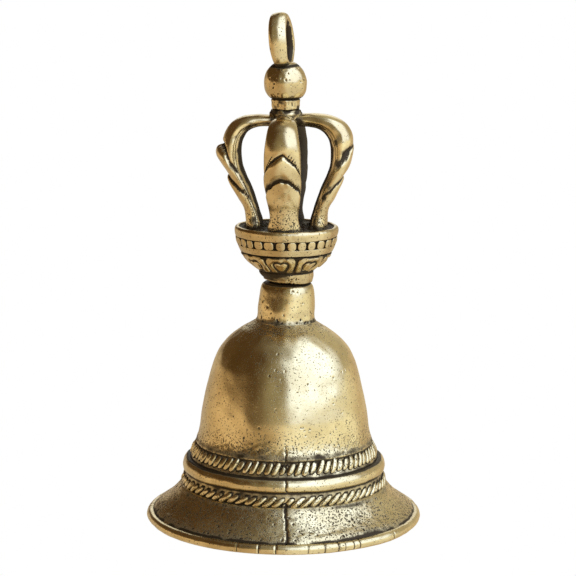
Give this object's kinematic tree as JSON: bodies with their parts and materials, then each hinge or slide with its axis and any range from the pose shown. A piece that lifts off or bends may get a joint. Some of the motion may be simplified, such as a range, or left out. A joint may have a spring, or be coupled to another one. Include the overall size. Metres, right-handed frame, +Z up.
{
  "type": "temple bell",
  "caption": "Small cast brass hand bell with rope bands round its skirt, a lotus cup and pronged crown as handle, a hanging loop and a free-swinging clapper inside.",
  "frame": {"origin": "centre of the mouth's plane, where the rim stands", "axes": "+Z up along the bell's axis to the hanging loop, -Y towards the viewer of the front prong, +X to the right"},
  "size_m": [0.03, 0.03, 0.0553],
  "materials": {
    "cast_brass": "worn cast brass, satin, with fine black pits and dark patina in its grooves",
    "rope_brass": "worn cast brass, bright on the strands and dark between them",
    "handle_brass": "worn cast brass, bright on the relief and near black in the lines",
    "crown_brass": "polished by handling outside, dark patina inside",
    "inner_brass": "dull, dark, tarnished brass",
    "clapper_brass": "tarnished brass, brighter where it strikes"
  },
  "bodies": {
    "bell": {"bell_dome": "cast_brass", "rim_bead": "cast_brass", "lower_rope_band": "rope_brass", "waist_ring": "cast_brass", "upper_rope_band": "rope_brass", "neck_socket": "cast_brass", "handle_tang": "inner_brass", "lotus_foot": "handle_brass", "lotus_cup": "handle_brass", "lotus_petals": "handle_brass", "bead_row": "handle_brass", "cup_rim": "handle_brass", "prong_front": "crown_brass", "prong_back": "crown_brass", "prong_left": "crown_brass", "prong_right": "crown_brass", "crown_hub": "crown_brass", "finial_collar": "crown_brass", "finial_ball": "crown_brass", "hanging_loop": "crown_brass", "clapper_staple": "inner_brass"},
    "link": {"clapper_link": "clapper_brass"},
    "clapper": {"clapper_rod": "clapper_brass", "clapper_ball": "clapper_brass"}
  },
  "joints": [
    {"name": "clapper_swing", "type": "hinge", "parent": "bell", "child": "link", "pos_m": [0, 0, 0.01889], "axis": [0, 1, 0], "range_deg": [-27, 27]},
    {"name": "clapper_sway", "type": "hinge", "parent": "link", "child": "clapper", "pos_m": [0, 0, 0.01679], "axis": [1, 0, 0], "range_deg": [-10, 10]}
  ]
}
